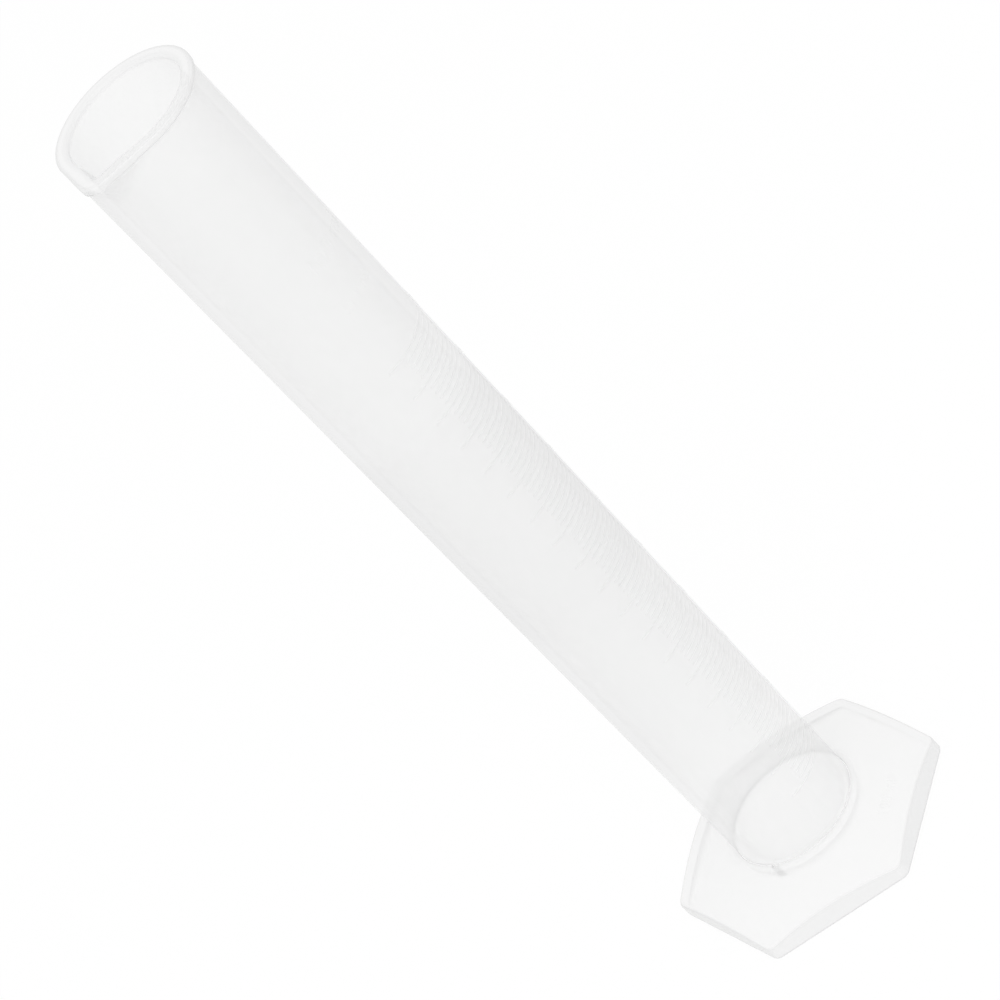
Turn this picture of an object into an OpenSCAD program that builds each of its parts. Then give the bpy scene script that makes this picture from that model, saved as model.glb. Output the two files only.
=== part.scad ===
// Measuring cylinder of a manual rain gauge.
// A tall, slightly tapered tube with a rolled rim, a pouring spout and a raised
// millilitre scale stands in the socket of a hollow six-sided foot. Both are
// moulded in natural polypropylene. The tube lifts straight out of the foot.
// Millimetres. The origin is the centre of the foot's underside, +Z runs up the
// tube, the spout points along -X and the scale faces -Y.

/* [Tube] */
// Height of the rim above the table
total_h = 250; // [230:1:270]
// Outer radius of the tube where it leaves the foot
tube_r_low = 15.45; // [15.2:0.05:15.8]
// Outer radius of the tube under its rim
tube_r_top = 16.5; // [16.2:0.05:17]
// Inner radius at the tube's floor
bore_r_low = 13.7; // [13:0.05:13.9]
// Inner radius under the mouth
bore_r_top = 14; // [13.95:0.05:14.5]
// Thickness of the tube's floor
floor_t = 1.6; // [1.2:0.1:3]
// Radius of the curve between the bore and its floor
floor_curve = 3; // [1:0.5:5]

/* [Rim and spout] */
// How far the rim stands out from the tube
rim_out = 0.55; // [0.4:0.05:1.5]
// Height of the rim
rim_h = 1.7; // [1.2:0.1:3]
// Radius of the rounding at the mouth's inner edge
mouth_round = 0.8; // [0.3:0.1:1]
// Distance of the spout's lip from the tube's axis
spout_reach = 21.4; // [20:0.1:24]
// Outer radius of the spout at its lip
spout_tip_r = 4.8; // [2:0.1:6]
// Wall of the spout at its lip
spout_wall = 2.9; // [1.5:0.1:3.5]
// Depth below the rim at which the spout runs into the tube
spout_drop = 9; // [7:0.5:15]

/* [Scale] */
// Volume of the lowest line, in millilitres
scale_first = 10; // [5:5:30]
// Volume of the highest line, in millilitres
scale_last = 100; // [50:10:100]
// Height of one raised line along the tube
line_w = 0.45; // [0.3:0.05:0.7]
// How far the lines stand out of the tube
line_out = 0.14; // [0.1:0.02:0.4]

/* [Foot] */
// Size of the foot across its corners, before they are rounded
foot_across = 70.2; // [64:0.2:90]
// Rounding of the foot's corners
foot_corner_r = 2.5; // [2:0.5:6]
// Height of the foot's skirt at a corner
skirt_h = 3.3; // [2.6:0.1:4]
// Height of the ring where the foot meets the tube
collar_h = 9.25; // [8:0.25:12]
// Outer radius of that ring
collar_r = 15.8; // [15.7:0.05:17]
// Thickness of the foot's shell
foot_wall = 1.5; // [1:0.1:2]
// Height of the socket's floor above the table
socket_floor = 4.75; // [3.5:0.05:5.5]
// Gap all round between the tube and its socket
socket_gap = 0.06; // [0.02:0.01:0.1]

/* [Hidden] */

round_fn = 96;
small_fn = 32;
tiny = 0.01;
plastic = [0.93, 0.95, 0.96];

// The rounding of an edge in a turned section, in steps of this many degrees
arc_steps = [0 : 15 : 90];

// Tube: a straight spigot inside the socket, then a slender cone up to the rim
rim_base = total_h - rim_h;
rim_r = tube_r_top + rim_out;
rim_round = 0.5;
spigot_chamfer = 0.5;
wall_slope = (tube_r_top - tube_r_low) / (rim_base - collar_h);

// Bore: a slender cone from its floor to the mouth
bore_floor = socket_floor + floor_t;
bore_slope = (bore_r_top - bore_r_low) / (total_h - bore_floor);

// Spout: drawn along +X, then turned round to -X. Its sides start a little inside
// the rim and the wall. Under its lip it draws in quickly and then fades slowly
// into the wall, so its parts are [depth below the rim, reach, radius of the tip].
spout_dir = 180;
lip_root_r = rim_r - 0.15;
spout_root_r = tube_r_top - 0.2;
spout_parts = [
    [rim_h, spout_reach - 0.1, spout_tip_r - 0.1],
    [rim_h + 0.21 * (spout_drop - rim_h), spout_reach - 2.1, 3.4],
    [rim_h + 0.42 * (spout_drop - rim_h), spout_reach - 3.4, 2.6]
];
channel_tip_r = 1.2;
channel_reach = spout_reach - spout_wall;
channel_root_r = bore_r_top + mouth_round / 2;
channel_foot_z = total_h - spout_drop + 1;

// Scale: angles run anticlockwise from +X, seen from above
scale_right = -60;
long_left = -126;
short_left = -111;
long_every = 5;
line_root = 0.3;

// Key that keeps the spout over a corner of the foot, and its notch
key_w = 1.3;
key_out = 0.65;
key_short = 0.3;
key_gap = 0.15;

// Foot: its top is a shallow dome through the ring and the corners
foot_r = foot_across / 2;
dome_z = (pow(collar_r, 2) + pow(collar_h, 2) - pow(foot_r, 2) - pow(skirt_h, 2))
    / (2 * (collar_h - skirt_h));
dome_r = norm([collar_r, collar_h - dome_z]);
dome_steps = 10;
socket_r = tube_r_low + socket_gap;
cup_r = collar_r + 0.8;
cup_base = socket_floor - foot_wall;
cup_top = collar_h - foot_wall;

// Height above the bore's floor of a filling of ml millilitres. The rounding of
// the floor's edge takes a little of the volume away.
edge_loss = 2 * PI * (bore_r_low - 0.22 * floor_curve) * pow(floor_curve, 2) * (1 - PI / 4);
function fill_h(ml) =
    let (cone = pow(bore_r_low, 3) + 3 * bore_slope * (1000 * ml + edge_loss) / PI)
    (pow(cone, 1 / 3) - bore_r_low) / bore_slope;
function line_z(ml) = bore_floor + fill_h(ml);

// Outer radius of the tube at height z
function wall_r(z) = tube_r_low + wall_slope * max(0, z - collar_h);

// Points of a quarter circle of radius r round [x, y] that starts at angle a
function quarter(x, y, r, a) = [for (t = arc_steps) [x + r * cos(a + t), y + r * sin(a + t)]];

// Outside of the tube with its rim, as half a section
module tube_section() {
    polygon(concat(
        [[0, socket_floor]],
        [[tube_r_low - spigot_chamfer, socket_floor]],
        [[tube_r_low, socket_floor + spigot_chamfer]],
        [[tube_r_low, collar_h]],
        [[tube_r_top, rim_base]],
        quarter(rim_r - rim_round, rim_base + rim_round, rim_round, -90),
        quarter(rim_r - rim_round, total_h - rim_round, rim_round, 0),
        [[0, total_h]]
    ));
}

// Inside of the tube, as half a section that runs out of the mouth
module bore_section() {
    mouth = quarter(bore_r_top + mouth_round, total_h - mouth_round, mouth_round, 90);
    polygon(concat(
        [[0, bore_floor]],
        quarter(bore_r_low - floor_curve, bore_floor + floor_curve, floor_curve, -90),
        [for (i = [len(mouth) - 1 : -1 : 0]) mouth[i]],
        [[bore_r_top + mouth_round, total_h + 1]],
        [[0, total_h + 1]]
    ));
}

// Plan of the spout: two straight sides that touch the circle of radius root_r
// and the small circle of the tip, which ends at reach
module spout_plan(root_r, reach, tip_r) {
    tip_x = reach - tip_r;
    lean = acos((root_r - tip_r) / tip_x);
    side = [cos(lean), sin(lean)];
    polygon([
        [0, 0],
        root_r * side,
        [tip_x, 0] + tip_r * side,
        [tip_x + tip_r * side[0], -tip_r * side[1]],
        [root_r * side[0], -root_r * side[1]]
    ]);
    translate([tip_x, 0]) circle(tip_r, $fn = small_fn);
}

// Thin slice of the spout at height z
module spout_slice(z, root_r, reach, tip_r) {
    translate([0, 0, z]) linear_extrude(tiny) spout_plan(root_r, reach, tip_r);
}

// Point on the wall where the spout or its channel runs out
module spout_end(r, z) {
    translate([r - 0.5, 0, z]) cylinder(r = tiny, h = tiny, $fn = 4);
}

// Lip as thick as the rim, and the solid that carries it down to the wall
module spout() {
    translate([0, 0, rim_base])
        linear_extrude(rim_h) spout_plan(lip_root_r, spout_reach, spout_tip_r);
    for (i = [0 : len(spout_parts) - 1]) hull() {
        upper = spout_parts[i];
        spout_slice(total_h - upper[0], spout_root_r, upper[1], upper[2]);
        if (i + 1 < len(spout_parts)) {
            lower = spout_parts[i + 1];
            spout_slice(total_h - lower[0], spout_root_r, lower[1], lower[2]);
        }
        else spout_end(spout_root_r, total_h - spout_drop);
    }
}

// Channel inside the spout: a wedge that narrows to a point on the bore
module spout_channel() {
    hull() {
        spout_slice(total_h, channel_root_r, channel_reach, channel_tip_r);
        spout_slice(total_h + 1, channel_root_r, channel_reach, channel_tip_r);
        spout_end(channel_root_r, channel_foot_z);
    }
}

// One raised line of the scale, as a section set into the wall at height z
module line_section(z) {
    r = wall_r(z);
    polygon([
        [r - line_root, z - line_w / 2],
        [r, z - line_w / 2],
        [r + line_out, z - line_w / 4],
        [r + line_out, z + line_w / 4],
        [r, z + line_w / 2],
        [r - line_root, z + line_w / 2]
    ]);
}

// Raised lines at the given volumes, from the angle left to the scale's right end
module scale_lines(volumes, left) {
    rotate([0, 0, left])
        rotate_extrude(angle = scale_right - left, $fn = round_fn)
            for (ml = volumes) line_section(line_z(ml));
}

// Rib on the spigot that drops into the notch of the collar
module key() {
    rotate([0, 0, spout_dir])
        translate([tube_r_low - 1, -key_w / 2, socket_floor + spigot_chamfer])
            cube([1 + key_out, key_w, collar_h - socket_floor - spigot_chamfer - key_short]);
}

module tube() {
    all_ml = [scale_first : scale_last];
    color(plastic) {
        difference() {
            union() {
                rotate_extrude($fn = round_fn) tube_section();
                rotate([0, 0, spout_dir]) spout();
                key();
            }
            rotate_extrude($fn = round_fn) bore_section();
            rotate([0, 0, spout_dir]) spout_channel();
        }
        scale_lines([for (ml = all_ml) if (ml % long_every == 0) ml], long_left);
        scale_lines([for (ml = all_ml) if (ml % long_every != 0) ml], short_left);
    }
}

// Plan of the foot: a hexagon with corners on +X and -X, its sides set in by
// inset and its corners rounded
module foot_plan(inset) {
    corner_r = max(foot_corner_r - inset, 0.5);
    reach = foot_r - (inset + corner_r) / cos(30);
    polygon([for (k = [0 : 5], side = [-30, 30]) [
        reach * cos(60 * k) + corner_r * cos(60 * k + side),
        reach * sin(60 * k) + corner_r * sin(60 * k + side)
    ]]);
    for (k = [0 : 5])
        rotate(60 * k) translate([reach, 0]) circle(corner_r, $fn = small_fn);
}

// Hexagonal block under the dome, made smaller all round by inset. The dome is
// turned from an arc round a centre far below the foot.
module foot_block(inset, base) {
    arc_r = dome_r - inset;
    top = collar_h - inset;
    dome_from = sqrt(pow(arc_r, 2) - pow(top - dome_z, 2));
    dome_step = (foot_r + 1 - dome_from) / dome_steps;
    intersection() {
        translate([0, 0, base]) linear_extrude(top - base + 1) foot_plan(inset);
        rotate_extrude($fn = round_fn) polygon(concat(
            [[0, base - 1], [0, top]],
            [for (i = [0 : dome_steps])
                let (r = dome_from + i * dome_step) [r, dome_z + sqrt(pow(arc_r, 2) - pow(r, 2))]],
            [[foot_r + 1, base - 1]]
        ));
    }
}

module foot() {
    color(plastic) difference() {
        union() {
            difference() {
                foot_block(0, 0);
                foot_block(foot_wall, -1);
            }
            translate([0, 0, cup_base]) cylinder(r = cup_r, h = cup_top - cup_base, $fn = round_fn);
        }
        translate([0, 0, socket_floor]) cylinder(r = socket_r, h = collar_h, $fn = round_fn);
        rotate([0, 0, spout_dir]) translate([0, -key_w / 2 - key_gap, socket_floor])
            cube([tube_r_low + key_out + key_gap, key_w + 2 * key_gap, collar_h]);
    }
}

foot();
tube();
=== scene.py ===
"""Looks of a manual rain gauge's measuring cylinder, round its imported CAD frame.

Two mouldings in natural polypropylene: a slender tube with a rolled rim, a pouring
spout and a raised millilitre scale, and the hollow six-sided foot it stands in.
Lengths are worked out in millimetres and put into the meshes in metres. Angles are
degrees, anticlockwise from +X seen from above; the spout is at 180.
"""
import math

import bmesh
import bpy
import numpy as np
from mathutils import Matrix, Vector


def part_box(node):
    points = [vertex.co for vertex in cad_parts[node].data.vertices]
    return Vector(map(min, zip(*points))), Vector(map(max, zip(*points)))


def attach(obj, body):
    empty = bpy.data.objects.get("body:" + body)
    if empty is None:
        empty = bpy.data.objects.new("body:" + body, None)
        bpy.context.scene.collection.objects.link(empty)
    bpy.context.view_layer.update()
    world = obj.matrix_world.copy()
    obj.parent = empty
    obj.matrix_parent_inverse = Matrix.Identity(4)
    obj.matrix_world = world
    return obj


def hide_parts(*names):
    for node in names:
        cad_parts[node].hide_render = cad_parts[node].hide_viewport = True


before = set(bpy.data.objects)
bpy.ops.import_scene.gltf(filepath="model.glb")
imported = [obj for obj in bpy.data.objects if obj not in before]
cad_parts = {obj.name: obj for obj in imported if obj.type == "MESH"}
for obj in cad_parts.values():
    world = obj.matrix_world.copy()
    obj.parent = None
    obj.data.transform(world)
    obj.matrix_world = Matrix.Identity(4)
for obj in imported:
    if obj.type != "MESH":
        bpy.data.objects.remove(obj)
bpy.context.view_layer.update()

MM = 0.001


# --- Sizes -----------------------------------------------------------------------

def box_mm(name):
    """Lowest and highest corner of a CAD node, in millimetres."""
    return [[c / MM for c in corner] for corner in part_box(name)]


tube_low, tube_high = box_mm("tube")
foot_high = box_mm("foot")[1]

RIM_Z = tube_high[2]
SPIGOT_Z = tube_low[2]
COLLAR_Z = foot_high[2]
SPOUT_REACH = -tube_low[0]
SPOUT_AT = 180.0

# Tube: a straight spigot under a slender cone, and a bore with a rounded floor
TUBE_R_LOW = 15.45
TUBE_R_TOP = 16.5
SPIGOT_ROUND = 0.5
UNDERSIDE_Z = SPIGOT_Z + 0.05
BORE_R_LOW = 13.7
BORE_R_TOP = 14.0
BORE_FLOOR = SPIGOT_Z + 1.6
FLOOR_CURVE = 3.0

# Rim: a bead round the outside, rounded more at its top, and the mouth's rounding
RIM_R = 17.05
RIM_H = 1.7
BEAD_FILLET = 0.1
BEAD_LOW_ROUND = 0.42
BEAD_TOP_ROUND = 0.5
MOUTH_ROUND = 0.8

# Spout: its lip outside, which leans in a little below, and its channel inside.
# The rim gives way to it between the angles of SPOUT_SIDE from its middle, and the
# channel's rows and the bore's start at their own depths under the rim
SPOUT_DROP = 9.0
SPOUT_TIP_R = 4.8
SPOUT_SIDE = (33.0, 30.0)
LIP_DRAFT = 0.1
LIP_CURVE = 2.2
LIP_NARROWS = 1.5
ROOT_CURVE = 6
CHANNEL_OUT = 4.1
CHANNEL_DROP = 8.5
CHANNEL_CURVE = 1.6
CHANNEL_HALF = 11.0
CHANNEL_END = 46.0
CHANNEL_FROM = 1.4
BORE_FROM = 14.0

# Scale: raised lines, with angles for their ends and for the slope at each end
LINE_W = 0.45
LINE_OUT = 0.14
LINE_SLOPE = 0.5
SCALE_RIGHT = -60.0
SHORT_LEFT = -111.0
LONG_LEFT = -126.0

# Key on the spigot, under the spout
KEY_W = 1.3
KEY_OUT = 0.65
KEY_LOW = SPIGOT_Z + 0.6
KEY_TOP = COLLAR_Z - 0.3
KEY_ROUND = 0.1
KEY_SLOPE = 0.4
KEY_SIDE = math.degrees(KEY_W / 2 / TUBE_R_LOW)

# Least angle between a column at a slope and any other, on the tube and on the foot
TUBE_COLUMN_GAP = 0.7
FOOT_COLUMN_GAP = 0.12

# Foot: a six-sided shell under a dome, with the socket's cup hanging in it
FOOT_APOTHEM = foot_high[1]
FOOT_R = FOOT_APOTHEM / math.cos(math.pi / 6)
FOOT_CORNER_R = 2.5
FOOT_WALL = 1.5
SKIRT_H = 3.3
SKIRT_ROUND = 0.7
EDGE_ROUND = 0.3
INNER_BEND = 0.9
INNER_DROP = 0.08
COLLAR_R = 15.8
SOCKET_R = 15.51
NOTCH_W = 1.6
NOTCH_R = 16.25
NOTCH_SLOPE = 0.3
NOTCH_SIDE = math.degrees(NOTCH_W / 2 / SOCKET_R)
CUP_R = 16.0
CUP_Z = SPIGOT_Z - FOOT_WALL
CUP_ROUND = 0.5
CUP_FILLET = 0.6

# The dome is part of a sphere through the collar and the tops of the sharp corners
DOME_Z = (COLLAR_R ** 2 + COLLAR_Z ** 2 - FOOT_R ** 2 - SKIRT_H ** 2) / (
    2 * (COLLAR_Z - SKIRT_H)
)
DOME_R = math.hypot(COLLAR_R, COLLAR_Z - DOME_Z)

# Figures: they stand out from the wall and reach a little into it
MARK_OUT = 0.2
MARK_IN = 0.1
NUMBER_SIZE = 3.6
NUMBERS_AT = -55.0
CAPACITY_TEXTS = (("100 ml", 6.0, -120.0, 201.0), ("in 1 ml", 3.6, -118.0, 190.2))
FOOT_TEXT, FOOT_TEXT_SIZE, FOOT_TEXT_Y = "100 ml", 3.5, -24.6

# Looks of the skin. One unit of the meshes' deepening attribute gives a wall DEEPENING more body and
# takes DARKENING off its colour; below 0 it is clearer, and a THIN wall isn't seen at all.
# Where tube and foot meet and on the foot's skirt that darkening is painted shade, and on
# the rim's flat top the clearing is a painted highlight
CLOUDING = 0.01
ROUGHNESS = 0.35
STREAK_ROUGHNESS = 0.08
DEEPENING = 0.06
DARKENING = 0.012
THIN = -8.0
MIDDLE_DEPTH, MIDDLE_RISE, MIDDLE_FALL = 1.6, (88.0, 98.0), (160.0, 152.0)
LOW_END_DEPTH, LOW_END = -2.4, (62.0, 22.0)
# Painted shade: the tube's wall is darker just above the foot, where the two parts meet
JOIN_SHADE_DEPTH, JOIN_SHADE_SPAN = 3.0, (10.5, 9.0)
LINE_DEPTH = 1.0
RIM_DEPTH = 3.0
# Painted highlight: the rim's flat top is clearer and paler than the bead and the mouth
RIM_TOP_HIGHLIGHT_DEPTH = -1.0
BORE_DEPTH = -1.0
BORE_LOW_END_DEPTH = -2.0
BORE_FLOOR_DEPTH = -2.5
BORE_EDGE_ON = -0.45
# Painted shade: the foot's lower outer edge, its skirt and their rounding up to the dome are darker
EDGE_SHADE_DEPTH = 9.0
SKIRT_SHADE_DEPTH = 3.5
SKIRT_ROUND_SHADE_DEPTHS = ((0.0, 4.0), (0.2, 5.0), (0.4, 6.0), (0.6, 6.0), (0.8, 4.0), (1.0, 1.0))
# Painted shade where tube and foot meet: the dome darkens towards the collar, and so does the
# socket's lip
COLLAR_SHADE_DEPTH, COLLAR_SHADE_FROM = 3.0, 0.9
LIP_SHADE_DEPTH = 4.0


# --- Small mathematics -----------------------------------------------------------

def fade(x, start, end):
    """Soft step from 0 where x is start to 1 where x is end, flat beyond both."""
    share = np.clip((x - start) / (end - start), 0.0, 1.0)
    return share * share * (3.0 - 2.0 * share)


def half_turn(angle):
    """The same angle from -180 to 180."""
    return (angle + 180.0) % 360.0 - 180.0


def arc(r, z, radius, start, end, steps):
    """Points of an arc round (r, z) from one angle to another."""
    turn = np.radians(np.linspace(start, end, steps))
    return [(r + radius * math.cos(t), z + radius * math.sin(t)) for t in turn]


def wall_r(z):
    """Outer radius of the tube: straight spigot, then a slender cone."""
    slope = (TUBE_R_TOP - TUBE_R_LOW) / (RIM_Z - RIM_H - COLLAR_Z)
    return TUBE_R_LOW + slope * np.clip(np.asarray(z) - COLLAR_Z, 0.0, None)


def bore_r(z):
    """Inner radius of the tube: a slender cone from its floor to the mouth."""
    slope = (BORE_R_TOP - BORE_R_LOW) / (RIM_Z - BORE_FLOOR)
    return BORE_R_LOW + slope * (np.asarray(z) - BORE_FLOOR)


def on_profile(radius, heights):
    """Profile points (radius, height) at these heights of a wall of the tube."""
    return [(float(radius(z)), z) for z in heights]


def line_height(ml):
    """Height at which the tube holds ml millilitres: the cone's volume solved for its
    height, once what the rounding of the floor takes away is added. That loss is the
    corner between a square and its quarter circle, carried round at its centroid."""
    slope = (BORE_R_TOP - BORE_R_LOW) / (RIM_Z - BORE_FLOOR)
    centroid_r = BORE_R_LOW - 0.22 * FLOOR_CURVE
    loss = 2 * math.pi * centroid_r * FLOOR_CURVE ** 2 * (1 - math.pi / 4)
    cone = BORE_R_LOW ** 3 + 3 * slope * (1000 * ml + loss) / math.pi
    return BORE_FLOOR + (cone ** (1 / 3) - BORE_R_LOW) / slope


def wall_depth(z):
    """How much deeper the tube's wall looks up its height: its middle a little deeper, its
    lower end a little clearer, and just above the foot deeper and darker again, which is
    painted shade where the tube meets the foot."""
    middle = fade(z, *MIDDLE_RISE) * fade(z, *MIDDLE_FALL)
    return MIDDLE_DEPTH * middle + LOW_END_DEPTH * fade(z, *LOW_END) + JOIN_SHADE_DEPTH * fade(z, *JOIN_SHADE_SPAN)


def dome_height(r, inset=0.0):
    """Height of the foot's domed top at radius r, or of the same dome set in."""
    return DOME_Z + np.sqrt((DOME_R - inset) ** 2 - np.asarray(r) ** 2)


# --- Meshes ----------------------------------------------------------------------

def new_object(name, verts, faces):
    """Object with a mesh of these points, in metres, and faces."""
    mesh = bpy.data.meshes.new(name)
    mesh.from_pydata(verts, [], faces)
    mesh.update()
    obj = bpy.data.objects.new(name, mesh)
    bpy.context.scene.collection.objects.link(obj)
    return obj


def place_rows(radius, height, angles):
    """Grid of points from radius (rows by columns), height and the columns' angles."""
    turn = np.radians(angles)
    height = np.broadcast_to(height, radius.shape)
    return np.stack([radius * np.cos(turn), radius * np.sin(turn), height], axis=-1)


def turned_shell(name, points, depth, edge_on):
    """Closed skin over a grid of rows by columns. Columns run round the axis and
    close on themselves, and the first and last rows are single points on the axis.
    Each face is (row, column), (row, next), (next row, next), (next row, column).
    At each point, the grid before edge_on says how much deeper and darker the plastic looks;
    on the foot's skirt and where tube and foot meet that darkening is painted shade, and on
    the rim's flat top its clearing is a painted highlight. edge_on says how much body is
    added where the wall is seen edge-on; below 0 it is taken away there."""
    rows, columns = points.shape[:2]
    verts = np.vstack([points[0, 0], points[1:-1].reshape(-1, 3), points[-1, 0]]) * MM
    here = np.arange(columns)
    after = (here + 1) % columns
    starts = 1 + np.arange(rows - 3)[:, None] * columns
    quads = np.stack(
        [starts + here, starts + after, starts + columns + after, starts + columns + here],
        axis=-1,
    ).reshape(-1, 4)
    top = 1 + (rows - 3) * columns
    end = len(verts) - 1
    low_fan = np.stack([np.zeros(columns, int), 1 + after, 1 + here], axis=-1)
    top_fan = np.stack([top + here, top + after, np.full(columns, end)], axis=-1)
    shell = new_object(name, verts.tolist(), quads.tolist() + low_fan.tolist() + top_fan.tolist())
    mesh = shell.data
    mesh.polygons.foreach_set("use_smooth", np.ones(len(mesh.polygons), bool))
    for label, grid in (("depth", depth), ("edge_on", edge_on)):
        values = np.concatenate([grid[0, :1], grid[1:-1].ravel(), grid[-1, :1]])
        layer = mesh.attributes.new(label, "FLOAT", "POINT")
        layer.data.foreach_set("value", values.astype(np.float32))
    mesh.update()
    return shell


# --- Tube ------------------------------------------------------------------------

def spout_outline(turn, root_r, reach, tip_r):
    """Distance from the axis to the spout's plan, at angle turn from its middle: the
    circle of radius root_r, two straight lines that touch it and the circle of the
    tip, and that small circle, which ends at reach. Works on whole arrays."""
    tip_x = reach - tip_r
    lean = np.arccos(np.clip((root_r - tip_r) / tip_x, -1.0, 1.0))
    turn = np.radians(np.abs(turn))
    tip_end = np.arctan2(tip_r * np.sin(lean), tip_x + tip_r * np.cos(lean))
    side = root_r / np.cos(np.clip(lean - turn, -1.5, 1.5))
    under = np.clip(tip_r ** 2 - (tip_x * np.sin(turn)) ** 2, 0.0, None)
    tip = tip_x * np.cos(turn) + np.sqrt(under)
    return np.where(turn > lean, root_r, np.where(turn < tip_end, tip, side))


def tube_columns():
    """Angles of the tube's columns: even all round, closer at the spout, and in pairs
    at the slopes that end the scale's lines and the key. Others keep clear of those."""
    pairs = []
    for start in (LONG_LEFT, SHORT_LEFT, SCALE_RIGHT - LINE_SLOPE):
        pairs += [start, start + LINE_SLOPE]
    for start in (SPOUT_AT - KEY_SIDE - KEY_SLOPE, SPOUT_AT + KEY_SIDE):
        pairs += [start, start + KEY_SLOPE]
    pairs = half_turn(np.array(pairs))
    even = np.arange(-180.0, 180.0, 4.0)
    near_spout = SPOUT_AT + np.arange(-48.0, 48.1, 2.0)
    loose = half_turn(np.concatenate([even, near_spout]))
    clear = np.abs(loose[:, None] - pairs[None, :]).min(axis=1) > TUBE_COLUMN_GAP
    return np.unique(np.round(np.concatenate([loose[clear], pairs]), 3))


def line_rows():
    """Rows up the wall over the scale, as their heights, their relief and whether
    their line is a long one: six rows to each raised line, two on the wall below it,
    two on its face and two on the wall above it."""
    ml = np.arange(10, 101)
    steps = np.array([-0.8, -0.5, -0.25, 0.25, 0.5, 0.8])
    height = line_height(ml)[:, None] + steps * LINE_W
    relief = np.tile([0.0, 0.0, 1.0, 1.0, 0.0, 0.0], len(ml))
    is_long = np.repeat(ml % 5 == 0, len(steps))
    return height.ravel(), relief[:, None], is_long[:, None]


def tube_profile(scale_z):
    """Rows of (radius, height) from the middle of the underside up the outside, over
    the rim and down the bore to its floor, and each stretch's slice of those rows."""
    lip_z, bead_z, curve_z = RIM_Z - SPOUT_DROP, RIM_Z - RIM_H, BORE_FLOOR + FLOOR_CURVE
    stretches = {
        "low": [(r, UNDERSIDE_Z) for r in (0.0, 4.0, 10.0, 14.4)]
        + arc(TUBE_R_LOW - SPIGOT_ROUND, UNDERSIDE_Z + SPIGOT_ROUND, SPIGOT_ROUND, -80, 0, 5)
        + on_profile(wall_r, (KEY_LOW, KEY_LOW + KEY_ROUND, KEY_TOP - KEY_ROUND, KEY_TOP))
        + on_profile(wall_r, (COLLAR_Z, 10.5, 13.0, 16.5, 20.0)),
        "scale": on_profile(wall_r, scale_z),
        "plain": on_profile(wall_r, np.linspace(scale_z[-1] + 6, lip_z, 8)),
        "under": on_profile(wall_r, np.linspace(lip_z, bead_z, 18)[1:]),
        "bead": arc(TUBE_R_TOP + BEAD_FILLET, bead_z + 0.12, BEAD_FILLET, 190, 100, 3)
        + arc(RIM_R - BEAD_LOW_ROUND, bead_z + 0.58, BEAD_LOW_ROUND, -90, 0, 6)
        + [(RIM_R, RIM_Z - 0.75)]
        + arc(RIM_R - BEAD_TOP_ROUND, RIM_Z - BEAD_TOP_ROUND, BEAD_TOP_ROUND, 0, 90, 7),
        "top": [(TUBE_R_TOP, RIM_Z)] * 2,
        "mouth": arc(BORE_R_TOP + MOUTH_ROUND, RIM_Z - MOUTH_ROUND, MOUTH_ROUND, 90, 180, 7),
        "channel": on_profile(bore_r, np.linspace(RIM_Z - CHANNEL_FROM, RIM_Z - CHANNEL_DROP, 14)),
        "bore": on_profile(bore_r, np.linspace(RIM_Z - BORE_FROM, curve_z, 14)),
        "floor": arc(BORE_R_LOW - FLOOR_CURVE, curve_z, FLOOR_CURVE, 0, -90, 8)[1:]
        + [(r, BORE_FLOOR) for r in (7.0, 3.0, 0.0)],
    }
    rows = np.array([row for stretch in stretches.values() for row in stretch])
    ends = np.cumsum([len(stretch) for stretch in stretches.values()])
    spans = {
        name: slice(end - len(stretch), end)
        for (name, stretch), end in zip(stretches.items(), ends)
    }
    return rows, spans


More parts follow.
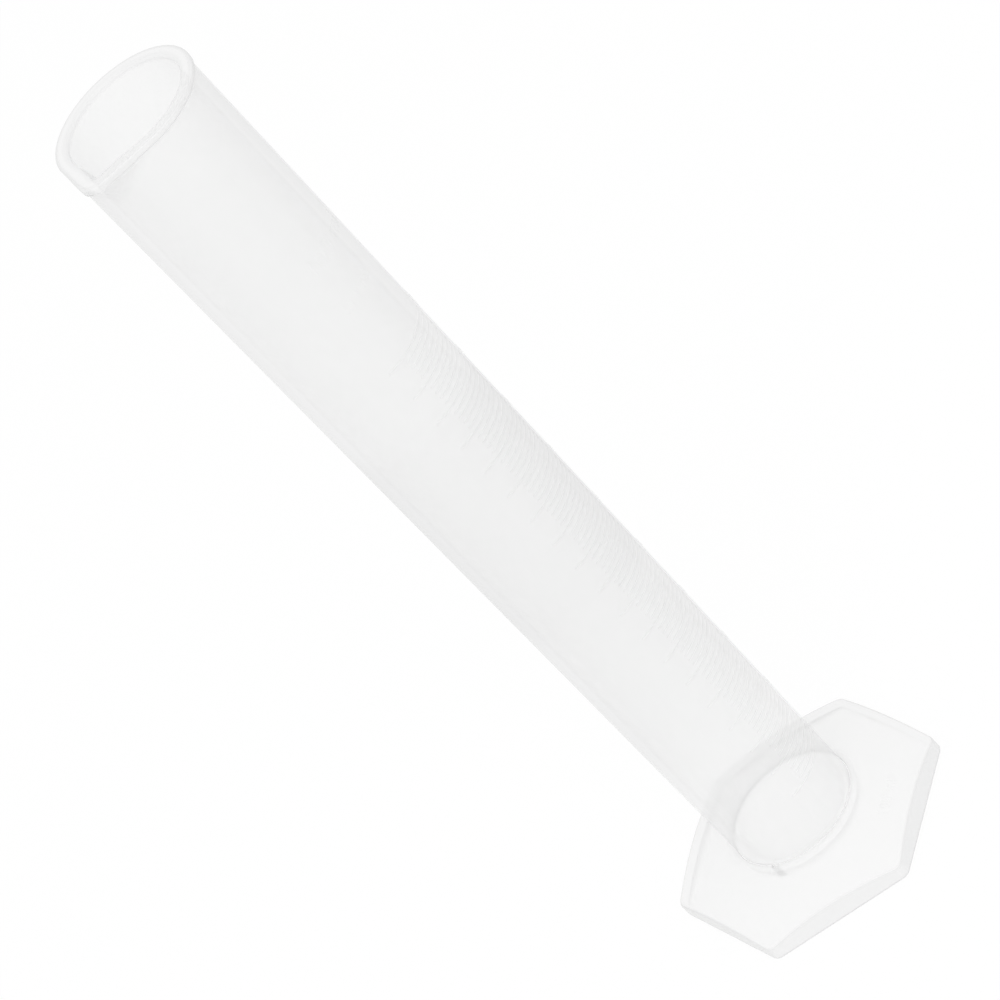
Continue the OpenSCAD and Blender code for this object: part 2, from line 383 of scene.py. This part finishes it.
def make_tube():
    """Tube as one skin. Each row of its profile is a circle, pushed out by the key, by
    the scale's lines, by the spout's plan or by its channel."""
    angles = tube_columns()
    turn = half_turn(angles - SPOUT_AT)[None, :]
    scale_z, relief, is_long = line_rows()
    profile, span = tube_profile(scale_z)
    r = np.repeat(profile[:, :1], len(angles), axis=1)
    z = profile[:, 1:2]

    # Key: full between its slopes, and rounded over a little at both ends
    key = fade(np.abs(turn), KEY_SIDE + KEY_SLOPE, KEY_SIDE)
    rows = span["low"]
    from_low = np.clip((z[rows] - KEY_LOW) / KEY_ROUND, 0, 1)
    from_top = np.clip((KEY_TOP - z[rows]) / KEY_ROUND, 0, 1)
    r[rows] += KEY_OUT * key * from_low * from_top

    # Raised lines: full between the slopes at their ends
    from_left = np.where(is_long, angles - LONG_LEFT, angles - SHORT_LEFT)
    from_right = SCALE_RIGHT - angles
    line = relief * np.clip(from_left / LINE_SLOPE, 0, 1) * np.clip(from_right / LINE_SLOPE, 0, 1)
    r[span["scale"]] += LINE_OUT * line

    # Solid that carries the spout's lip: its reach fades down into the wall
    rows = span["under"]
    down = (RIM_Z - RIM_H - z[rows]) / (SPOUT_DROP - RIM_H)
    at_spout = fade(np.abs(turn), *SPOUT_SIDE)
    lip_reach = SPOUT_REACH - LIP_DRAFT
    reach = TUBE_R_TOP + (lip_reach - TUBE_R_TOP) * (1 - down) ** LIP_CURVE
    tip_r = SPOUT_TIP_R - LIP_DRAFT - LIP_NARROWS * down
    root = r[rows] + (RIM_R - LIP_DRAFT - TUBE_R_TOP) * (1 - down) ** ROOT_CURVE * at_spout
    r[rows] = spout_outline(turn, root, np.maximum(reach, root + 0.001), tip_r)

    # Bead, carried out round the spout, where its lower half leans in a little
    rows = span["bead"]
    below = RIM_Z - BEAD_TOP_ROUND - z[rows]
    leaning = RIM_R - LIP_DRAFT * np.clip(below / (RIM_H - BEAD_TOP_ROUND), 0, 1)
    own = np.where(below > 0, r[rows] + (leaning - r[rows]) * at_spout, r[rows])
    inset = RIM_R - own
    r[rows] = spout_outline(turn, own, SPOUT_REACH - inset, SPOUT_TIP_R - inset)

    # Channel: a bell-shaped push outwards that fades down the bore
    bell_end = 1 / (1 + (CHANNEL_END / CHANNEL_HALF) ** 2)
    bell = (1 / (1 + (turn / CHANNEL_HALF) ** 2) - bell_end) / (1 - bell_end)
    rows = slice(span["mouth"].start, span["channel"].stop)
    left = np.clip(1 - (RIM_Z - z[rows]) / CHANNEL_DROP, 0, None)
    r[rows] += CHANNEL_OUT * left ** CHANNEL_CURVE * np.clip(bell, 0, None)

    # Flat top: two rows that share out the way from the bead to the mouth
    lip_edge, mouth_edge = r[span["bead"].stop - 1], r[span["mouth"].start]
    r[span["top"]] = lip_edge + (mouth_edge - lip_edge) * np.array([[1 / 3], [2 / 3]])

    # Skin: in the socket only the key is seen, and the bore is clearer, most low down. Just
    # above the foot the wall is darker, which is painted shade where tube and foot meet
    in_socket = z[:, 0] < COLLAR_Z - 0.1
    depth = wall_depth(z) + np.zeros_like(r)
    depth[span["scale"]] += LINE_DEPTH * line
    depth[in_socket] = THIN * (1 - key)
    depth[span["bead"]] = RIM_DEPTH
    # The rim's flat top is made paler: a painted highlight
    depth[span["top"]] = RIM_TOP_HIGHLIGHT_DEPTH
    depth[span["mouth"]] = RIM_DEPTH
    depth[span["channel"]] = BORE_DEPTH
    depth[span["bore"]] = BORE_DEPTH + BORE_LOW_END_DEPTH * fade(z[span["bore"]], *LOW_END)
    depth[span["floor"]] = BORE_FLOOR_DEPTH
    edge_on = np.zeros_like(r)
    edge_on[:span["top"].stop] = 1.0
    edge_on[in_socket] = 0.0
    edge_on[span["bore"]] = BORE_EDGE_ON

    return turned_shell("tube_body", place_rows(r, z, angles), depth, edge_on)


# --- Foot ------------------------------------------------------------------------

def foot_outline(angles, inset):
    """Distance from the axis to the six-sided plan set in by inset: a straight side
    at its apothem, or the rounding of the nearest corner."""
    corner_r = np.maximum(FOOT_CORNER_R - inset, 0.5)
    apothem = FOOT_APOTHEM - inset
    reach = (apothem - corner_r) / math.cos(math.pi / 6)
    turn = np.radians(np.abs((np.asarray(angles) + 30.0) % 60.0 - 30.0))
    corner_end = np.arctan2(corner_r * 0.5, reach + corner_r * math.cos(math.pi / 6))
    under = np.clip(corner_r ** 2 - (reach * np.sin(turn)) ** 2, 0.0, None)
    corner = reach * np.cos(turn) + np.sqrt(under)
    side = apothem / np.cos(math.pi / 6 - turn)
    return np.where(turn < corner_end, corner, side)


def foot_columns():
    """Angles of the foot's columns: close together at the six rounded corners, and in
    pairs at the slopes of the key's notch. Others keep clear of those."""
    apart = [3.9, 5.0, 7.0, 10.0, 14.0, 18.5, 23.0, 27.0, 30.0]
    fan = np.concatenate([np.linspace(0, 3.2, 8), apart])
    one = np.unique(np.concatenate([-fan, fan]))
    every = half_turn(np.concatenate([60.0 * k + one for k in range(6)]))
    sides = np.array([-NOTCH_SIDE - NOTCH_SLOPE, -NOTCH_SIDE, NOTCH_SIDE, NOTCH_SIDE + NOTCH_SLOPE])
    notch = half_turn(SPOUT_AT + sides)
    clear = np.abs(every[:, None] - notch[None, :]).min(axis=1) > FOOT_COLUMN_GAP
    return np.unique(np.round(np.concatenate([every[clear], notch]), 3))


def make_foot():
    """Foot as one skin: from the middle of the cup's underside out under the dome,
    down inside the skirt, round its lower edge, up the outside, over the domed top
    to the collar and down into the socket. Rows outside the cup are worked out from
    the six-sided plan; the dome's height is that of a sphere far below."""
    angles = foot_columns()
    outer = foot_outline(angles, 0.0)
    inner = foot_outline(angles, FOOT_WALL)
    rows = []

    def ring(r, z, depth=0.0, edge_on=0.0):
        rows.append([np.broadcast_to(v, len(angles)) for v in (r, z, depth, edge_on)])

    # Underside of the cup, its outside, and the fillet up to the dome
    for r in (0.0, 5.0, 12.0):
        ring(r, CUP_Z, THIN)
    for r, z in arc(CUP_R - CUP_ROUND, CUP_Z + CUP_ROUND, CUP_ROUND, -90, 0, 5):
        ring(r, z, THIN)
    ring(CUP_R, 5.0, THIN)
    fillet_r = CUP_R + CUP_FILLET
    fillet_z = float(dome_height(fillet_r, FOOT_WALL)) - CUP_FILLET
    for r, z in arc(fillet_r, fillet_z, CUP_FILLET, 180, 100, 5):
        ring(r, z)

    # Under the dome to the inside of the skirt
    start_r = fillet_r + 0.2
    last_r = inner - INNER_BEND
    for share in (0.0, 0.2, 0.4, 0.6, 0.8, 1.0):
        r = start_r + (last_r - start_r) * share
        ring(r, dome_height(r, FOOT_WALL))
    bend_z = dome_height(last_r, FOOT_WALL) - INNER_BEND
    for t in np.radians([65, 45, 22, 0]):
        ring(last_r + INNER_BEND * math.cos(t), bend_z + INNER_BEND * math.sin(t) - INNER_DROP)
    ring(inner, 1.4, THIN)
    ring(inner, EDGE_ROUND, THIN)

    # Lower edge that the foot stands on, rounded on both sides, and the skirt's outside
    # The edge's outer rounding and the skirt's outside are darkened: painted shade
    for inset, z, depth in (
        (FOOT_WALL - 0.08, 0.09, THIN),
        (FOOT_WALL - EDGE_ROUND, 0.0, THIN),
        (EDGE_ROUND, 0.0, THIN),
        (0.09, 0.09, EDGE_SHADE_DEPTH),
    ):
        ring(foot_outline(angles, inset), z, depth)
    for z, depth in ((EDGE_ROUND, EDGE_SHADE_DEPTH), (0.55, SKIRT_SHADE_DEPTH), (1.6, SKIRT_SHADE_DEPTH)):
        ring(outer, z, depth, 1.0)

    # Rounded edge between the skirt and the dome, darkened by painted shade
    round_r = outer - SKIRT_ROUND
    round_z = DOME_Z + np.sqrt((DOME_R - SKIRT_ROUND) ** 2 - round_r ** 2)
    lean = np.arctan2(round_z - DOME_Z, round_r)
    for share, depth in SKIRT_ROUND_SHADE_DEPTHS:
        t = lean * share
        ring(round_r + SKIRT_ROUND * np.cos(t), round_z + SKIRT_ROUND * np.sin(t), depth, 1.0)
    last_r = round_r + SKIRT_ROUND * np.cos(lean)

    # Domed top, in to the collar, where it darkens with painted shade at the tube; the notch pushes
    # its inner rows out
    notch = fade(np.abs(half_turn(angles - SPOUT_AT)), NOTCH_SIDE + NOTCH_SLOPE, NOTCH_SIDE)
    socket = SOCKET_R + (NOTCH_R - SOCKET_R) * notch
    collar = np.maximum(COLLAR_R, socket + 0.12)
    for share in (0.04, 0.1, 0.2, 0.35, 0.5, 0.65, 0.8, 0.9, 0.96, 1.0):
        r = last_r + (collar - last_r) * share
        ring(r, dome_height(r), COLLAR_SHADE_DEPTH * fade(share, COLLAR_SHADE_FROM, 1.0))

    # Rounded lip of the socket, darkened by painted shade where the tube stands in it, its wall,
    # which shows only in the notch, and its floor
    lip = collar - socket
    for share, down in ((0.55, 0.03), (0.2, 0.12), (0.0, 0.3)):
        ring(socket + share * lip, COLLAR_Z - down, LIP_SHADE_DEPTH)
    for z in (8.0, 6.5, SPIGOT_Z + 0.3):
        ring(socket, z, THIN * (1 - notch))
    ring(socket - 0.3, SPIGOT_Z, THIN)
    for r in (10.0, 4.0, 0.0):
        ring(r, SPIGOT_Z, THIN)

    radius, height, depth, edge_on = np.array(rows).transpose(1, 0, 2)
    return turned_shell("foot_shell", place_rows(radius, height, angles), depth, edge_on)


# --- Figures ---------------------------------------------------------------------

def mesh_points(mesh):
    """Points of a mesh, one row each."""
    points = np.empty(3 * len(mesh.vertices), np.float32)
    mesh.vertices.foreach_get("co", points)
    return points.reshape(-1, 3).astype(float)


def flat_text(body, size):
    """Text as points and triangles in its own plane, in millimetres: x along the line,
    y up from the base line, z through its thickness from -0.5 to 0.5. It is cut
    across every half millimetre, so that it can bend round the wall."""
    curve = bpy.data.curves.new("figures", "FONT")
    curve.body = body
    curve.size = size
    curve.extrude = 0.5
    curve.resolution_u = 5
    curve.space_character = 1.05
    holder = bpy.data.objects.new("figures", curve)
    bpy.context.scene.collection.objects.link(holder)
    bpy.context.view_layer.update()
    mesh = bpy.data.meshes.new_from_object(holder)
    bpy.data.objects.remove(holder)
    bpy.data.curves.remove(curve)

    across = mesh_points(mesh)[:, 0]
    work = bmesh.new()
    work.from_mesh(mesh)
    bmesh.ops.remove_doubles(work, verts=work.verts, dist=1e-4)
    for x in np.arange(math.floor(across.min()) + 0.25, across.max(), 0.5):
        bmesh.ops.bisect_plane(
            work, geom=work.verts[:] + work.edges[:] + work.faces[:],
            plane_co=(x, 0, 0), plane_no=(1, 0, 0),
        )
    bmesh.ops.triangulate(work, faces=work.faces)
    work.to_mesh(mesh)
    work.free()

    points = mesh_points(mesh)
    corners = np.empty(len(mesh.loops), np.int32)
    mesh.loops.foreach_get("vertex_index", corners)
    bpy.data.meshes.remove(mesh)
    return points, corners.reshape(-1, 3)


def raised_marks(name, texts):
    """One object from several (points, triangles), with their points in millimetres."""
    firsts = np.cumsum([0] + [len(points) for points, _ in texts[:-1]])
    verts = np.vstack([points for points, _ in texts]) * MM
    faces = np.vstack([corners + first for (_, corners), first in zip(texts, firsts)])
    return new_object(name, verts.tolist(), faces.tolist())


def raised(surface, thickness):
    """From MARK_IN under a surface to MARK_OUT over it, as thickness goes -0.5 to 0.5."""
    return surface - MARK_IN + (thickness + 0.5) * (MARK_IN + MARK_OUT)


def on_tube(flat, start, z):
    """Text wrapped on the tube: x runs round the wall from the angle start, y up it."""
    points, corners = flat
    height = z + points[:, 1]
    wall = wall_r(height)
    turn = np.radians(start) + points[:, 0] / wall
    r = raised(wall, points[:, 2])
    return np.stack([r * np.cos(turn), r * np.sin(turn), height], axis=-1), corners


def on_foot(flat, middle_y):
    """Text laid on the dome in front of the tube, its base line towards -Y."""
    points, corners = flat
    x = points[:, 0] - (points[:, 0].min() + points[:, 0].max()) / 2
    y = middle_y + points[:, 1] - points[:, 1].max() / 2
    z = raised(dome_height(np.hypot(x, y)), points[:, 2])
    return np.stack([x, y, z], axis=-1), corners


def make_marks():
    """Figures beside every tenth line, the capacity and the value of one line."""
    numbers = []
    for ml in range(10, 101, 10):
        flat = flat_text(str(ml), NUMBER_SIZE)
        numbers.append(on_tube(flat, NUMBERS_AT, line_height(ml) - flat[0][:, 1].max() / 2))
    capacity = [on_tube(flat_text(text, size), at, z) for text, size, at, z in CAPACITY_TEXTS]
    foot = [on_foot(flat_text(FOOT_TEXT, FOOT_TEXT_SIZE), FOOT_TEXT_Y)]
    return (
        raised_marks("scale_figures", numbers),
        raised_marks("capacity_mark", capacity),
        raised_marks("foot_mark", foot),
    )


# --- Materials -------------------------------------------------------------------

def node(tree, kind, **settings):
    """New node with the given settings."""
    made = tree.nodes.new(kind)
    for key, value in settings.items():
        setattr(made, key, value)
    return made


def math_node(tree, operation, *terms, **settings):
    """Output of a new Math node, whose terms are plain numbers or other outputs."""
    made = node(tree, "ShaderNodeMath", operation=operation, **settings)
    for place, term in zip(made.inputs, terms):
        if isinstance(term, bpy.types.NodeSocket):
            tree.links.new(term, place)
        else:
            place.default_value = term
    return made.outputs[0]


def noise_node(tree, vector, scale, detail):
    """Output of a new Noise Texture node."""
    made = node(tree, "ShaderNodeTexNoise")
    made.inputs["Scale"].default_value = scale
    made.inputs["Detail"].default_value = detail
    tree.links.new(vector, made.inputs["Vector"])
    return made.outputs["Fac"]


def moulded_group():
    """Clouding and fine texture of moulded polypropylene: soft clouds and streaks of
    flow along the wall vary the colour and the body, the streaks also the roughness,
    and a fine orange-peel gives the height. The meshes' deepening attribute darkens the
    colour and adds body; on the foot's skirt and where tube and foot meet that darkening is
    painted shade, and on the rim's flat top its clearing is a painted highlight."""
    group = bpy.data.node_groups.new("moulded polypropylene", "ShaderNodeTree")
    for way, name, kind in (
        ("INPUT", "Tint", "NodeSocketColor"),
        ("INPUT", "Clouding", "NodeSocketFloat"),
        ("INPUT", "Roughness", "NodeSocketFloat"),
        ("INPUT", "Body", "NodeSocketFloat"),
        ("INPUT", "Deepening", "NodeSocketFloat"),
        ("OUTPUT", "Color", "NodeSocketColor"),
        ("OUTPUT", "Roughness", "NodeSocketFloat"),
        ("OUTPUT", "Body", "NodeSocketFloat"),
        ("OUTPUT", "Height", "NodeSocketFloat"),
    ):
        group.interface.new_socket(name, in_out=way, socket_type=kind)
    given = node(group, "NodeGroupInput").outputs
    result = node(group, "NodeGroupOutput").inputs
    link = group.links.new
    place = node(group, "ShaderNodeTexCoord").outputs["Object"]
    depth = node(group, "ShaderNodeAttribute", attribute_name="depth").outputs["Fac"]

    along = node(group, "ShaderNodeMapping")
    along.inputs["Scale"].default_value = (1.0, 1.0, 0.18)
    link(place, along.inputs["Vector"])
    clouds = noise_node(group, place, 55.0, 3.0)
    streaks = noise_node(group, along.outputs["Vector"], 260.0, 2.0)
    peel = noise_node(group, place, 1500.0, 2.0)
    link(peel, result["Height"])

    both = math_node(group, "ADD", clouds, streaks)
    centred = math_node(group, "SUBTRACT", both, 1.0)
    amount = math_node(group, "MULTIPLY_ADD", centred, given["Clouding"], 1.0)
    # Colour darkened by the meshes' deepening attribute: painted shade on the skirt and at the
    # junction, a painted highlight on the rim's top
    shade = math_node(group, "MULTIPLY_ADD", depth, -DARKENING, amount)
    tint = node(group, "ShaderNodeVectorMath", operation="SCALE")
    link(given["Tint"], tint.inputs[0])
    link(shade, tint.inputs["Scale"])
    link(tint.outputs["Vector"], result["Color"])

    deeper = math_node(group, "MULTIPLY_ADD", depth, given["Deepening"], given["Body"])
    link(math_node(group, "MULTIPLY", deeper, amount, use_clamp=True), result["Body"])
    rough = math_node(group, "MULTIPLY_ADD", streaks, STREAK_ROUGHNESS, given["Roughness"])
    link(rough, result["Roughness"])
    return group


def polypropylene(name, group, tint, body, edge):
    """Natural polypropylene: a pale, faintly clouded plastic whose skin lets part of
    the light straight through. A wall seen edge-on is deeper, by a curve that rises
    from 0 to 1 and falls again at the very edge. A wall has two faces and is counted
    once, on the face where a ray enters it."""
    material = bpy.data.materials.new(name)
    material.use_nodes = True
    material.use_backface_culling = True
    tree = material.node_tree
    tree.nodes.clear()
    link = tree.links.new
    skin = node(tree, "ShaderNodeGroup", node_tree=group)
    for label, value in (
        ("Tint", (tint, tint, tint, 1.0)),
        ("Clouding", CLOUDING),
        ("Roughness", ROUGHNESS),
        ("Body", body),
        ("Deepening", DEEPENING),
    ):
        skin.inputs[label].default_value = value

    facing = node(tree, "ShaderNodeLayerWeight")
    facing.inputs["Blend"].default_value = 0.5
    rise = node(tree, "ShaderNodeFloatCurve")
    curve = rise.mapping.curves[0]
    curve.points[0].location = (0.0, 0.0)
    curve.points[1].location = (1.0, 0.3)
    for turned, share in ((0.3, 0.0), (0.5, 0.45), (0.64, 0.95), (0.74, 1.0), (0.9, 0.6)):
        curve.points.new(turned, share)
    rise.mapping.update()
    link(facing.outputs["Facing"], rise.inputs["Value"])
    edge_on = node(tree, "ShaderNodeAttribute", attribute_name="edge_on").outputs["Fac"]
    reach = math_node(tree, "MULTIPLY", rise.outputs["Value"], edge)
    whole = math_node(tree, "MULTIPLY_ADD", reach, edge_on, skin.outputs["Body"], use_clamp=True)
    backfacing = node(tree, "ShaderNodeNewGeometry").outputs["Backfacing"]
    entered = math_node(tree, "SUBTRACT", 1.0, backfacing)

    bump = node(tree, "ShaderNodeBump")
    bump.inputs["Strength"].default_value = 0.04
    bump.inputs["Distance"].default_value = 0.0001
    link(skin.outputs["Height"], bump.inputs["Height"])
    shader = node(tree, "ShaderNodeBsdfPrincipled")
    shader.inputs["IOR"].default_value = 1.49
    link(skin.outputs["Color"], shader.inputs["Base Color"])
    link(skin.outputs["Roughness"], shader.inputs["Roughness"])
    link(math_node(tree, "MULTIPLY", whole, entered), shader.inputs["Alpha"])
    link(bump.outputs["Normal"], shader.inputs["Normal"])
    out = node(tree, "ShaderNodeOutputMaterial")
    link(shader.outputs["BSDF"], out.inputs["Surface"])
    return material


# --- The object ------------------------------------------------------------------

tube_body = make_tube()
foot_shell = make_foot()
numbers, capacity, foot_mark = make_marks()

moulded = moulded_group()
tube_plastic = polypropylene("natural_tube", moulded, tint=0.81, body=0.46, edge=0.25)
foot_plastic = polypropylene("natural_foot", moulded, tint=0.84, body=0.48, edge=0.15)
figure_plastic = polypropylene("natural_figures", moulded, tint=0.87, body=0.12, edge=0.2)

for piece, body, material in (
    (tube_body, "tube", tube_plastic),
    (numbers, "tube", figure_plastic),
    (capacity, "tube", figure_plastic),
    (foot_shell, "foot", foot_plastic),
    (foot_mark, "foot", figure_plastic),
):
    piece.data.materials.append(material)
    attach(piece, body)
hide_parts("tube")
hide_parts("foot")


# --- Floor, light and camera -----------------------------------------------------

def make_floor():
    """Wide pale floor: a square sheet just under the foot. Seen directly or straight
    through the plastic it is mostly plain white and keeps a part of the shadow, and
    in a reflection or a refraction it is white."""
    half, under = 6.0, -0.0002
    corners = [(-half, -half, under), (half, -half, under), (half, half, under), (-half, half, under)]
    floor = new_object("floor", corners, [(0, 1, 2, 3)])
    material = bpy.data.materials.new("floor_paper")
    material.use_nodes = True
    tree = material.node_tree
    tree.nodes.clear()
    link = tree.links.new
    seen = node(tree, "ShaderNodeLightPath").outputs
    straight = math_node(tree, "MULTIPLY", seen["Is Camera Ray"], 0.93)
    bent = math_node(tree, "MAXIMUM", seen["Is Glossy Ray"], seen["Is Transmission Ray"])
    paper = node(tree, "ShaderNodeBsdfDiffuse")
    paper.inputs["Color"].default_value = (0.985, 0.985, 0.985, 1.0)
    white = node(tree, "ShaderNodeEmission")
    both = node(tree, "ShaderNodeMixShader")
    link(math_node(tree, "MAXIMUM", straight, bent), both.inputs["Fac"])
    link(paper.outputs[0], both.inputs[1])
    link(white.outputs[0], both.inputs[2])
    out = node(tree, "ShaderNodeOutputMaterial")
    link(both.outputs[0], out.inputs["Surface"])
    floor.data.materials.append(material)


def make_light():
    """White surroundings and one broad lamp high on the left."""
    world = bpy.data.worlds.new("studio")
    bpy.context.scene.world = world
    world.use_nodes = True
    background = world.node_tree.nodes["Background"]
    background.inputs["Color"].default_value = (1.0, 1.0, 1.0, 1.0)
    background.inputs["Strength"].default_value = 0.85
    lamp = bpy.data.lights.new("softbox", "AREA")
    lamp.shape = "DISK"
    lamp.size = 1.2
    lamp.energy = 9.0
    holder = bpy.data.objects.new("softbox", lamp)
    holder.location = (-0.9, -0.7, 1.6)
    aim = Vector((0, 0, 0.1)) - holder.location
    holder.rotation_euler = aim.to_track_quat("-Z", "Y").to_euler()
    bpy.context.scene.collection.objects.link(holder)


def make_camera():
    """Long lens from high on the spout's side, rolled so that the tube lies across
    the picture from its upper left to its lower right."""
    azimuth = math.radians(-43.53)
    rise = math.radians(33.35)
    roll = math.radians(-43.78)
    target = Vector((0.40, -0.38, 122.74)) * MM
    distance = 0.99473
    back = Vector((
        math.sin(azimuth) * math.cos(rise),
        -math.cos(azimuth) * math.cos(rise),
        math.sin(rise),
    ))
    level = Vector((math.cos(azimuth), math.sin(azimuth), 0.0))
    upright = back.cross(level)
    right = level * math.cos(roll) + upright * math.sin(roll)
    up = upright * math.cos(roll) - level * math.sin(roll)
    lens = bpy.data.cameras.new("camera")
    lens.lens = 170.0
    lens.sensor_width = 36.0
    lens.clip_start = 0.05
    lens.clip_end = 50.0
    camera = bpy.data.objects.new("camera", lens)
    turn = Matrix((right, up, back)).transposed()
    camera.matrix_world = Matrix.Translation(target + back * distance) @ turn.to_4x4()
    bpy.context.scene.collection.objects.link(camera)
    bpy.context.scene.camera = camera


make_floor()
make_light()
make_camera()
bpy.context.scene.view_settings.view_transform = "Standard"
bpy.context.scene.cycles.transparent_max_bounces = 32
